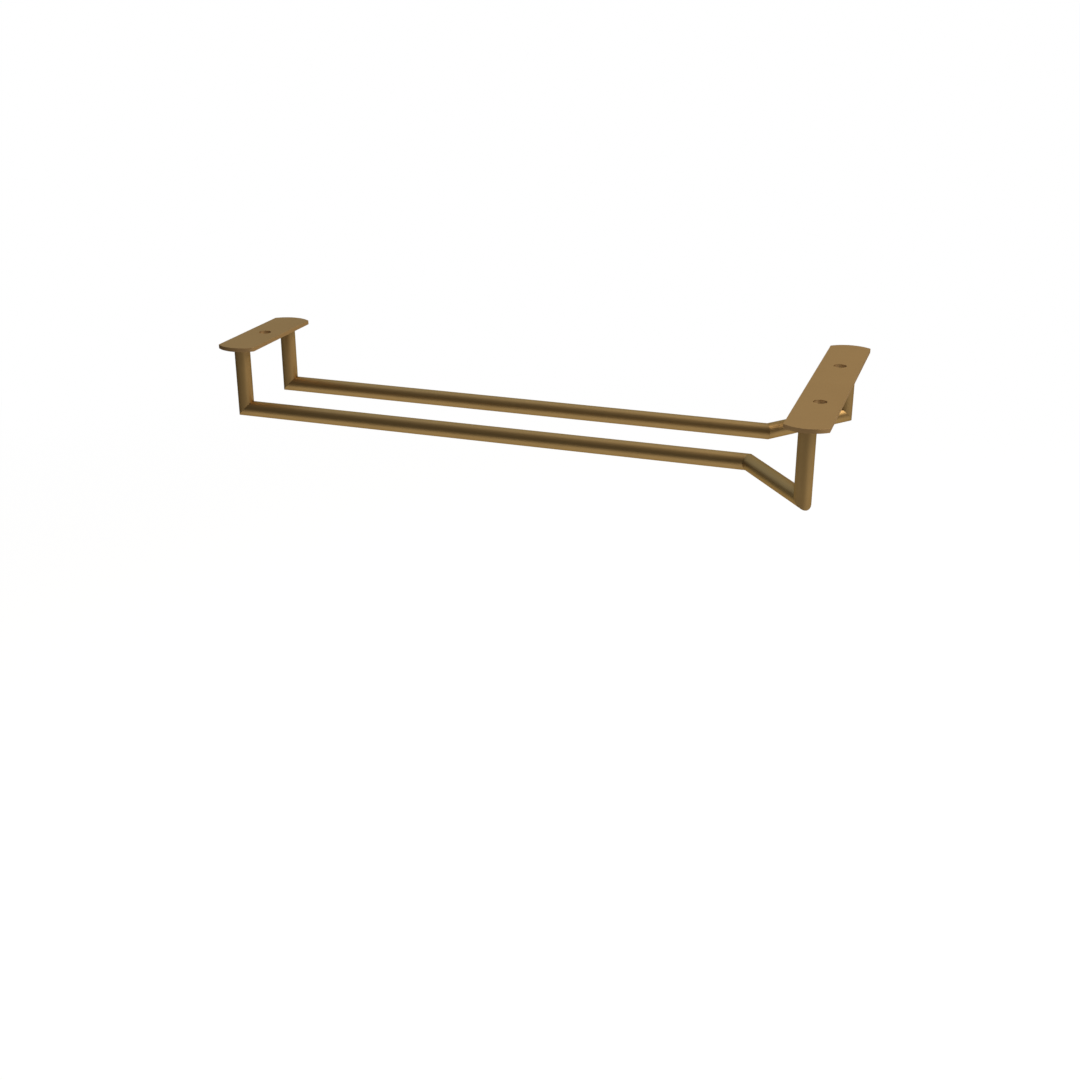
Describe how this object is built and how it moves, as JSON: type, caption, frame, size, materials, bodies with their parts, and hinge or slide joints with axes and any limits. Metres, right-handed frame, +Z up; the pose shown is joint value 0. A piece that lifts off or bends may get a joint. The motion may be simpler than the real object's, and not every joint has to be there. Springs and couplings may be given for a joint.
{
  "type": "hanging wine glass rack",
  "caption": "Under-shelf rack for stemmed glasses: level round-bar rails splay into a mouth at the front and hang on mitred posts from flat screw plates with bowed ends.",
  "frame": {"origin": "middle of the front plate's top face, the face that goes against the shelf, halfway between its two screw holes", "axes": "+Z up, out of the plates' top faces into the shelf; +Y along the rails, from the mouth to the rear; +X to the right for someone who faces the mouth"},
  "size_m": [0.1468, 0.3196, 0.0388],
  "materials": {
    "bar": "round bar with a fine satin grain along its length, aged to a soft bronze gold",
    "plate": "flat bar with a fine satin grain along its length, aged to a soft bronze gold",
    "braze": "brass-coloured braze, brushed by hand, slightly duller than the bar"
  },
  "bodies": {
    "root": {"front_plate": "plate", "rear_plate": "plate", "left_front_post": "bar", "right_front_post": "bar", "left_splay": "bar", "right_splay": "bar", "left_rail": "bar", "right_rail": "bar", "left_rear_post": "bar", "right_rear_post": "bar", "post_braze_rings": "braze"}
  },
  "joints": []
}
